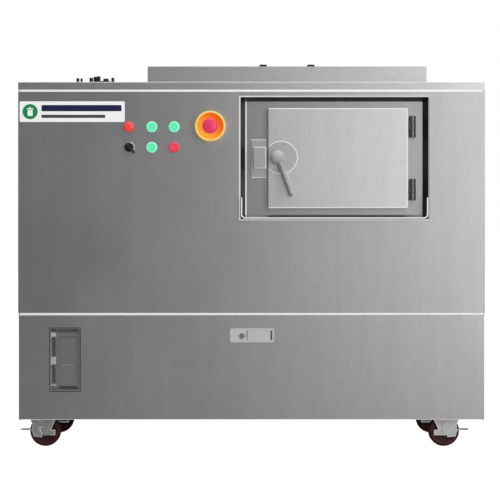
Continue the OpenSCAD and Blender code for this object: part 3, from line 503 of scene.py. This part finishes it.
def softened(name, width, material, rolled=()):
    """A rounded copy of a CAD node, which stands for it; rolled lists (width in mm, test) pairs."""
    piece = nodes[name].copy()
    piece.data = nodes[name].data.copy()
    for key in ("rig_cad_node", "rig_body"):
        del piece[key]
    piece.parent = None
    piece.name = name + "_rounded"
    bpy.context.scene.collection.objects.link(piece)
    paint(piece, material)
    make_active(piece)
    bpy.ops.object.mode_set(mode="EDIT")
    bpy.ops.mesh.select_all(action="SELECT")
    bpy.ops.mesh.remove_doubles(threshold=0.00001)
    bpy.ops.mesh.dissolve_limited(angle_limit=math.radians(0.5))
    # Rolled edges take a second slot with the painted-highlight material.
    if rolled:
        piece.data.materials.append(painted_highlight_edge)
    for roll_width, test in rolled:
        roll_edges(piece, roll_width * MM, test)
    bpy.ops.object.mode_set(mode="OBJECT")
    round_edges(piece, width)
    return hand_over(piece, body_of[name], [name])


sheet_fold = 0.5 * MM
shells = {
    "front_panel": (sheet_fold, steel_up), "service_flap": (sheet_fold, steel_up),
    "left_panel": (sheet_fold, steel_up), "right_panel": (sheet_fold, steel_up),
    "back_panel": (sheet_fold, steel_up), "top_panel": (sheet_fold, steel_along),
    "top_lip": (sheet_fold, steel_along), "top_cover": (sheet_fold, steel_along),
    "door_recess": (0.4 * MM, steel_recess_painted_shade), "door_skin": (sheet_fold, steel_door),
    "door_liner": (sheet_fold, steel_pocket), "service_pocket": (0.3 * MM, steel_pocket),
    "socket_cover_lower": (0.8 * MM, steel_pocket), "socket_cover_upper": (0.8 * MM, steel_pocket),
    "latch_plate": (0.4 * MM, steel_latch), "latch_keeper": (0.4 * MM, steel_latch),
    "latch_lever": (0.5 * MM, cast_satin),
    "waste_drawer": (sheet_fold, steel_up), "frame_hinges": (0.8 * MM, steel_dark),
    "door_hinges": (0.8 * MM, steel_dark), "rear_handle": (0.8 * MM, frame_paint),
    "base_frame": (0.8 * MM, frame_paint), "base_floor": (0.5 * MM, frame_paint),
    "flap_brackets": (0.6 * MM, frame_paint), "upright_frame": (0.8 * MM, frame_paint),
    "top_frame": (0.8 * MM, frame_paint), "control_box": (0.5 * MM, box_paint),
    "flap_paddle": (0.6 * MM, cast_pale), "flap_latch_body": (0.7 * MM, cast_pale),
    "flap_lock": (0.5 * MM, chrome_bright), "top_fittings": (0.8 * MM, black_plastic),
    "ram_head": (0.8 * MM, steel_mill), "chamber": (0.8 * MM, steel_mill),
    "discharge_gate": (0.8 * MM, steel_mill), "oil_tank": (0.8 * MM, pack_paint),
    "ram_cylinder": (0.8 * MM, pack_paint), "pump_motor": (0.6 * MM, pack_paint),
    "valve_block": (0.8 * MM, zinc_plate), "motor_fan": (0.5 * MM, black_plastic),
}
for i in (1, 2, 3, 4):
    shells[f"castor_fork_{i}"] = (0.6 * MM, zinc_plate)
for i in (1, 2):
    shells[f"castor_pedal_{i}"] = (0.6 * MM, zinc_plate)


def in_plane(y, shortest=25.0):
    """A test for long edges in a plane that faces the front."""
    return lambda middle, along: (abs(middle.y - y) < 0.02 * MM and abs(along.y) < 0.01 * MM
                                  and along.length > shortest * MM)


door_low, door_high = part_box("door_skin")
lip_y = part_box("door_recess")[0].y
rim_y = front_y - 1.5 * MM
rim_right = 440 * MM
recess_y = door_high.y + 5 * MM
recess_left = -15 * MM
keeper_y = recess_y - 5 * MM
hump_y = door_low.y - 1 * MM
hump_left = 7 * MM
plate_y = door_low.y - 3 * MM
arc_centre = (75.8 * MM, 746.8 * MM)
arc_inside = 40 * MM
near = 1 * MM
past_left = door_low.x + 5 * MM


def door_roll(middle, along):
    """Top, right and bottom of the door, but not its left side."""
    return in_plane(door_low.y)(middle, along) and middle.x > past_left


def rim_roll(middle, along):
    """The recess's rim, but not its right side."""
    return in_plane(rim_y)(middle, along) and middle.x < rim_right


def corner_roll(middle, along):
    """The inner left corner of the recess."""
    return in_plane(recess_y)(middle, along) and abs(middle.x - recess_left) < near


def keeper_roll(middle, along):
    """Top and bottom of the keeper's plate; top, right and bottom of its hump."""
    plate = in_plane(keeper_y, 30)(middle, along) and abs(along.z) < near
    hump = in_plane(hump_y, 0.1)(middle, along) and middle.x > hump_left
    return plate or hump


def arc_roll(middle, along):
    """The round edge of the latch's plate, but not its rivets."""
    from_centre = math.hypot(middle.x - arc_centre[0], middle.z - arc_centre[1])
    return in_plane(plate_y, 0.3)(middle, along) and from_centre > arc_inside


# Edges that carry the painted highlight: the roll width in mm and the test that picks them.
rolls = {
    "front_panel": [(1.1, in_plane(front_y, 600))],
    "service_flap": [(1.0, in_plane(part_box("service_flap")[0].y, 600))],
    "top_lip": [(1.2, in_plane(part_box("top_lip")[0].y, 600))],
    "door_skin": [(2.3, door_roll)],
    "door_recess": [(1.4, rim_roll), (1.2, in_plane(lip_y, 1.0)), (2.0, corner_roll)],
    "latch_keeper": [(1.5, keeper_roll)],
    "latch_plate": [(1.6, arc_roll)],
}
swivel_y = 268
leg_reach = 21
for i, side in enumerate((-1, -1, 1, 1), 1):
    leg_y = (side * swivel_y - leg_reach) * MM
    rolls[f"castor_fork_{i}"] = [(1.2, in_plane(leg_y, 10))]
pedal_y = -292.5 * MM
for i in (1, 2):
    rolls[f"castor_pedal_{i}"] = [(1.0, in_plane(pedal_y, 8))]
rounded = {}
for name, (width, material) in shells.items():
    rounded[name] = softened(name, width, material, rolls.get(name, ()))
print("softened shells:", len(rounded))


# %% A second finish on some faces
def second_finish(piece, material, test):
    """Gives the faces for which test(face) is true another material."""
    make_active(piece)
    bpy.ops.object.material_slot_add()
    piece.active_material = material
    bpy.ops.object.mode_set(mode="EDIT")
    pick_faces(piece, test)
    bpy.ops.object.material_slot_assign()
    bpy.ops.object.mode_set(mode="OBJECT")


cover_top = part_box("top_cover")[1].z - 5.5 * MM
second_finish(rounded["top_cover"], black_plastic, lambda f: f.calc_center_median().z > cover_top + 0.1 * MM)


def recess_wall(face):
    """Side walls and ceiling of the recess, between its rim and its back, which take the painted shade."""
    steep = abs(face.normal.y) < 0.8 and face.normal.z < 0.5
    return steep and front_y + 1 * MM < face.calc_center_median().y < recess_y - 1.5 * MM


# The recess walls take the painted-shade steel.
second_finish(rounded["door_recess"], steel_shadow, recess_wall)
joint_at = {joint["name"]: joint.get("pos_m") for joint in behaviour["joints"]}
hub_at = Vector(joint_at["catch_turn"])
ball_reach = 19 * MM
second_finish(rounded["latch_lever"], steel_polished,
              lambda f: (f.calc_center_median() - hub_at).length > ball_reach)

# %% [markdown]
# ## Turned pieces
#
# Buttons, bezels, rivets and wheels are all round. On a lathe one would draw the profile. Here a
# filled circle is extruded step by step, and each new face is scaled to the next radius, which gives
# the same shape and leaves clean rings of faces.


# %% Lathe helper
def turned(name, at, axis, steps, vertices=48):
    """A round piece: each step is (distance along the axis, radius), both in mm."""
    bpy.ops.object.select_all(action="DESELECT")
    height, radius = steps[0]
    bpy.ops.mesh.primitive_circle_add(vertices=vertices, radius=radius * MM, fill_type="NGON",
                                      location=(0, 0, height * MM))
    piece = bpy.context.object
    piece.name = name
    bpy.ops.object.transform_apply(location=True)
    bpy.ops.object.mode_set(mode="EDIT")
    bpy.ops.mesh.select_all(action="SELECT")
    for next_height, next_radius in steps[1:]:
        bpy.ops.mesh.extrude_region_move(
            TRANSFORM_OT_translate={"value": (0, 0, (next_height - height) * MM)})
        factor = next_radius / radius
        bpy.ops.transform.resize(value=(factor, factor, 1), center_override=(0, 0, next_height * MM))
        height, radius = next_height, next_radius
    bpy.ops.mesh.select_all(action="SELECT")
    bpy.ops.mesh.normals_make_consistent(inside=False)
    bpy.ops.object.mode_set(mode="OBJECT")
    piece.rotation_euler = Vector(axis).to_track_quat("Z", "Y").to_euler()
    piece.location = at
    bpy.ops.object.transform_apply(location=True, rotation=True)
    bpy.ops.object.shade_smooth_by_angle(angle=math.radians(40))
    return piece


OUT = (0, -1, 0)


def on_front(name, out=0.0):
    """The middle of a CAD node, brought to the front face and a little out of it."""
    middle = centre(name)
    return Vector((middle.x, front_y - out * MM, middle.z))


# %% [markdown]
# ## Push buttons
#
# Each button has a coloured ring that is fixed to the panel, and a cap inside it that travels. The
# green rings are lighter than their caps, and rings and caps give off a little light of their own.

# %% Button rings and caps
ring_steps = [(0, 14), (3.6, 14), (5.4, 13.4), (6, 12.6), (6, 12.1), (5.2, 11.5), (0.5, 11.5)]
cap_steps = [(-4.5, 11.2), (8.4, 11.2), (9.3, 10.5), (9.5, 9.6), (9.2, 8.4), (9.0, 5.0), (9.0, 1.0)]
stem_steps = [(-34, 8.9), (-4.5, 8.9), (-4.5, 8.0)]
button_sets = {
    "button_green_1": (mint_ring, green_cap), "button_green_2": (mint_ring, green_cap),
    "button_green_3": (mint_ring, green_cap), "button_red": (red_ring, red_cap),
}
for name, (ring_material, cap_material) in button_sets.items():
    spot = on_front(name)
    ring = turned(name + "_ring", spot, OUT, ring_steps)
    paint(ring, ring_material)
    hand_over(ring, "cabinet")
    cap = turned(name + "_cap", spot, OUT, cap_steps)
    paint(cap, cap_material)
    stem = turned(name + "_stem", spot, OUT, stem_steps, vertices=32)
    paint(stem, black_plastic)
    hand_over(stem, body_of[name])
    hand_over(cap, body_of[name], [name])
print("button caps stand", cap_steps[3][0], "mm out of the panel")

# %% Selector bezel and the barrels behind the panel
selector_at = Vector((-0.3145, front_y, 0.7728))
selector_ring = turned("selector_ring", selector_at, OUT, ring_steps)
paint(selector_ring, chrome_bright)
hand_over(selector_ring, "cabinet", ["button_bezels"])
barrel_steps = [(-40, 9.2), (-40, 11), (-2.2, 11), (-2.2, 9.2), (-39, 9.2)]
barrels = []
for at in [on_front(name) for name in button_sets] + [selector_at]:
    barrel = turned("panel_barrel", at, OUT, barrel_steps, vertices=32)
    paint(barrel, black_plastic)
    barrels.append(hand_over(barrel, "cabinet"))
for number, barrel in enumerate(barrels, 1):
    barrel.name = f"panel_barrel_{number}"

# %% [markdown]
# ## Selector switch
#
# A black disc with a pointer handle. The handle starts as a block, its tip is narrowed and its edges
# are rounded, and it points down to the right, as the switch stands at rest.

# %% Selector
disc = turned("selector_disc", selector_at, OUT,
              [(-38, 8.9), (1, 8.9), (1, 11.2), (7.2, 11.2), (8, 10.4), (8, 1)])
paint(disc, black_plastic)
hand_over(disc, "selector", ["selector_knob"])
bpy.ops.object.select_all(action="DESELECT")
pointer_size = (8 * MM, 12 * MM, 31.2 * MM)
pointer_middle = (0, 0, 5.4 * MM)
pointer_tip = (0, 6 * MM, 21 * MM)
bpy.ops.mesh.primitive_cube_add(size=1, location=pointer_middle, scale=pointer_size)
pointer = bpy.context.object
pointer.name = "selector_pointer"
bpy.ops.object.transform_apply(location=True, scale=True)
bpy.ops.object.mode_set(mode="EDIT")
pick_faces(pointer, lambda f: f.normal.z > 0.9)
bpy.ops.transform.resize(value=(0.75, 0.8, 1), center_override=pointer_tip)
pick_faces(pointer, lambda f: f.normal.y < -0.9)
bpy.ops.transform.resize(value=(0.7, 1, 0.96), center_override=pointer_middle)
bpy.ops.object.mode_set(mode="OBJECT")
round_edges(pointer, 1.2 * MM, 3)
pointer.rotation_euler = (0, math.radians(135), 0)
pointer.location = selector_at + Vector((0, -14 * MM, 0))
paint(pointer, black_plastic)
hand_over(pointer, "selector")

# %% [markdown]
# ## Pilot lamp
#
# A red domed lens in a coloured ring. The lens stands further out than the buttons.

# %% Pilot lamp
lamp_at = on_front("pilot_lamp")
lens = turned("lamp_lens", lamp_at, OUT,
              [(0, 11.2), (15.5, 11.2), (17.6, 10.6), (19, 9.2), (19.7, 7), (20, 4), (20, 0.8)])
paint(lens, lamp_red)
hand_over(lens, "cabinet", ["pilot_lamp"])
lamp_ring = turned("lamp_ring", lamp_at, OUT, ring_steps)
paint(lamp_ring, red_ring)
hand_over(lamp_ring, "cabinet")
lamp_barrel = turned("lamp_barrel", lamp_at, OUT, [(-40, 11), (-2.2, 11), (-2.2, 9)])
paint(lamp_barrel, black_plastic)
hand_over(lamp_barrel, "cabinet")

# %% [markdown]
# ## Emergency stop
#
# A deep yellow guard collar with a rolled rim surrounds the red mushroom. The inside of the collar
# takes painted shade: its colour goes from yellow at the lower left to orange at the upper right,
# for the shade that its rim throws inside.

# %% Emergency stop
stop_at = on_front("estop_collar")
collar_steps = [(0, 36.8), (20, 38.2), (24, 38.6), (26.8, 38.9), (28.2, 38.0), (28.5, 36.6), (28.2, 35.2),
                (26.8, 34.2), (22, 33.6), (8, 31.5), (4.5, 29), (3.6, 25), (3.6, 9)]
collar = turned("stop_collar", stop_at, OUT, collar_steps, vertices=96)
paint(collar, stop_yellow)
# Faces inside this radius take the painted shade.
collar_inner = 34.3 * MM
second_finish(collar, stop_inner_painted_shade, lambda f: math.hypot(
    f.calc_center_median().x - stop_at.x, f.calc_center_median().z - stop_at.z) < collar_inner)
hand_over(collar, "cabinet", ["estop_collar"])
stop_barrel_steps = [(-46, 8.2), (-46, 11), (-2.2, 11), (3, 11), (3, 8.2), (-45, 8.2)]
stop_barrel = turned("stop_barrel", stop_at, OUT, stop_barrel_steps)
paint(stop_barrel, black_plastic)
hand_over(stop_barrel, "cabinet")
mushroom_steps = [(26.4, 13.5), (28, 15.5), (29.6, 18.8), (31, 20), (34, 20), (36.5, 19), (38.6, 16.8),
                  (40, 13.4), (40.9, 9), (41.3, 4.5), (41.3, 1)]
mushroom = turned("stop_mushroom", stop_at, OUT, mushroom_steps, vertices=64)
paint(mushroom, stop_red)
hand_over(mushroom, "stop_head", ["estop_head"])
print("mushroom diameter in mm:", 2 * mushroom_steps[3][1], "collar:", 2 * collar_steps[3][1])

# %% [markdown]
# ## White plate
#
# The plate carries only a plain disc with a waste-bin shape and two bars, all raised by a hair.


# %% Plate and its marks
def flat_mark(name, low, high, out, material, corner):
    """A thin rounded bar on the front, between two (x, z) corners in mm."""
    bpy.ops.object.select_all(action="DESELECT")
    size = ((high[0] - low[0]) * MM, 0.4 * MM, (high[1] - low[1]) * MM)
    middle = ((high[0] + low[0]) / 2 * MM, front_y - out * MM, (high[1] + low[1]) / 2 * MM)
    bpy.ops.mesh.primitive_cube_add(size=1, location=middle, scale=size)
    mark = bpy.context.object
    mark.name = name
    bpy.ops.object.transform_apply(location=True, scale=True)
    bpy.ops.object.mode_set(mode="EDIT")
    mesh = bmesh.from_edit_mesh(mark.data)
    bpy.ops.mesh.select_mode(type="EDGE")
    bpy.ops.mesh.select_all(action="DESELECT")
    for edge in mesh.edges:
        along = edge.verts[0].co - edge.verts[1].co
        edge.select_set(abs(along.y) > 0.2 * MM)
    bmesh.update_edit_mesh(mark.data)
    bpy.ops.mesh.bevel(offset=corner * MM, segments=5)
    bpy.ops.object.mode_set(mode="OBJECT")
    paint(mark, material)
    return mark


plate_low, plate_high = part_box("nameplate")
plate_corners = [(corner.x / MM, corner.z / MM) for corner in (plate_low, plate_high)]
plate = flat_mark("white_plate", *plate_corners, 1.0, white_enamel_painted_glow, 4)
round_edges(plate, 0.1 * MM, 1)
hand_over(plate, "cabinet", ["nameplate"])
disc_at = Vector((plate_low.x + 27 * MM, front_y - 1.1 * MM, (plate_low.z + plate_high.z) / 2))
green_disc = turned("plate_disc", disc_at, OUT, [(0, 19.5), (0.4, 19.5), (0.4, 1)], vertices=64)
paint(green_disc, ink_green)
hand_over(green_disc, "cabinet")
cx, cz = disc_at.x / MM, disc_at.z / MM
marks = [
    ("plate_bin_body", (cx - 6.5, cz - 11), (cx + 6.5, cz + 4), 1.5, white_enamel_painted_glow, 1.6),
    ("plate_bin_lid", (cx - 8.5, cz + 5.8), (cx + 8.5, cz + 8.4), 1.5, white_enamel_painted_glow, 1.0),
    ("plate_bin_grip", (cx - 2.5, cz + 8.4), (cx + 2.5, cz + 10.8), 1.5, white_enamel_painted_glow, 0.6),
    ("plate_bar_long", (cx + 29, cz + 1), (plate_high.x / MM - 8, cz + 17), 1.3, ink_blue, 3.0),
    ("plate_bar_short", (cx + 29, cz - 16), (plate_high.x / MM - 50, cz - 8), 1.3, ink_grey, 2.0),
]
for name, low, high, out, material, corner in marks:
    hand_over(flat_mark(name, low, high, out, material, corner), "cabinet")

# %% [markdown]
# ## Seam strips
#
# A thin strip fills the joint below the top's lip, and another the joint above the service flap. Both
# reach back to the frame behind them, and their rounded fronts glow as bright lines: a painted
# highlight for the lit fold at each joint.


# %% Seam strips
def seam_highlight_strip(name, low_z, high_z):
    """A bar that stands on the frame and ends just behind the front face; it glows as a painted highlight.
    """
    depth = 23.4 * MM
    length = 1190 * MM
    set_back = 0.6 * MM
    middle = (0, front_y + set_back + depth / 2, (low_z + high_z) / 2)
    bpy.ops.object.select_all(action="DESELECT")
    bpy.ops.mesh.primitive_cube_add(size=1, location=middle, scale=(length, depth, high_z - low_z))
    strip = bpy.context.object
    strip.name = name
    bpy.ops.object.transform_apply(location=True, scale=True)
    round_edges(strip, 0.5 * MM, 3)
    # The whole strip takes the glowing edge material: a painted highlight.
    paint(strip, painted_highlight_edge)
    hand_over(strip, "cabinet")


panel_low, panel_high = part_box("front_panel")
seam_highlight_strip("seam_highlight_strip_top", panel_high.z + 0.2 * MM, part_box("top_lip")[0].z - 0.2 * MM)
seam_highlight_strip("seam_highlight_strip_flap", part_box("service_flap")[1].z + 0.7 * MM, panel_low.z - 0.2 * MM)
print("seam heights in mm:", [round(z / MM, 1) for z in (panel_high.z, panel_low.z)])

# %% [markdown]
# ## Castors
#
# A wheel is one turned piece: maroon tread, rounded shoulders, a hollowed side and a hub boss. It is
# modelled once and copied to the other three places.

# %% Castor wheels
half_wheel = [(17, 5), (17, 11.5), (12, 13), (10.5, 23), (13.4, 27), (15.6, 29.4), (16, 33), (14.8, 37),
              (11, 39.5), (6, 40)]
core_radius = 24.5 * MM
wheel_steps = [(-h, r) for h, r in half_wheel] + [(h, r) for h, r in reversed(half_wheel)]
first = turned("castor_wheel_form", (0, 0, 0), OUT, wheel_steps, vertices=64)
paint(first, tyre_maroon)
second_finish(first, wheel_core, lambda f: math.hypot(
    f.calc_center_median().x, f.calc_center_median().z) < core_radius)
for i in (1, 2, 3, 4):
    wheel = first.copy()
    wheel.data = first.data.copy()
    wheel.name = f"wheel_{i}_turned"
    bpy.context.scene.collection.objects.link(wheel)
    wheel.location = centre(f"castor_wheel_{i}")
    hand_over(wheel, f"wheel_{i}", [f"castor_wheel_{i}"])
bpy.data.objects.remove(first)

# %% [markdown]
# ## Plain finishes
#
# What is left keeps its CAD mesh, because its shape is already right, and only takes a finish.

# %% Finishes for the CAD nodes that stay
finishes = {
    "door_gasket": black_rubber, "latch_tongue": steel_dark,
    "estop_stem": black_plastic, "ram_rod": steel_polished, "hydraulic_hoses": black_rubber,
}
for name, material in finishes.items():
    nodes[name].data.materials.clear()
    nodes[name].data.materials.append(material)
print("CAD nodes that keep their mesh:", len(finishes))

# %% [markdown]
# ## The studio
#
# A tall soft light stands in front of the object and to the right, so the steel goes from bright on
# the right to dark on the left. A narrow one fills the middle, and a wide one hangs above. The world
# gives a dim grey for the steel to reflect, and plain white where the camera looks past the object.
# The floor gives off white for the camera alone, so that it reads as the same plain white.

# %% Floor
bpy.ops.object.select_all(action="DESELECT")
bpy.ops.mesh.primitive_circle_add(vertices=96, radius=60, fill_type="NGON", location=(0, 0, floor_z))
floor = bpy.context.object
floor.name = "studio_floor"
floor_material, floor_tree, floor_shader = new_material("studio_floor_pale")[:3]
floor_shader.inputs["Base Color"].default_value = (0.45, 0.45, 0.45, 1)
floor_shader.inputs["Roughness"].default_value = 0.9
floor_shader.inputs["Emission Color"].default_value = (1, 1, 1, 1)
floor_seen = floor_tree.nodes.new("ShaderNodeLightPath")
link(floor_tree, floor_seen.outputs["Is Camera Ray"], floor_shader.inputs["Emission Strength"])
paint(floor, floor_material)


# %% Lights
def soft_light(name, place, aim, size, power, height=None):
    """A rectangular area light that faces a point."""
    data = bpy.data.lights.new(name, "AREA")
    data.shape = "RECTANGLE"
    data.size = size
    data.size_y = height or size
    data.energy = power
    lamp = bpy.data.objects.new(name, data)
    bpy.context.scene.collection.objects.link(lamp)
    lamp.location = place
    lamp.visible_camera = False
    lamp.rotation_euler = (Vector(aim) - Vector(place)).to_track_quat("-Z", "Y").to_euler()
    return lamp


soft_light("key_right", (1.45, -2.5, 0.8), (0.2, front_y, 0.6), 1.3, 28, 4.0)
soft_light("front_strip", (0.38, -3.2, 0.6), (0.3, front_y, 0.6), 0.5, 5, 4.0)
soft_light("top_fill", (0.4, -0.9, 3.4), (0, -0.2, 0.5), 3.0, 36)

world = bpy.data.worlds.new("studio_world")
bpy.context.scene.world = world
world.use_nodes = True
sky = world.node_tree
background = sky.nodes["Background"]
seen = sky.nodes.new("ShaderNodeLightPath")
choose = sky.nodes.new("ShaderNodeMix")
choose.data_type = "RGBA"
choose.inputs["A"].default_value = (0.2, 0.2, 0.205, 1)
choose.inputs["B"].default_value = (1, 1, 1, 1)
link(sky, seen.outputs["Is Camera Ray"], choose.inputs["Factor"])
link(sky, choose.outputs["Result"], background.inputs["Color"])
bpy.context.scene.view_settings.view_transform = "Standard"
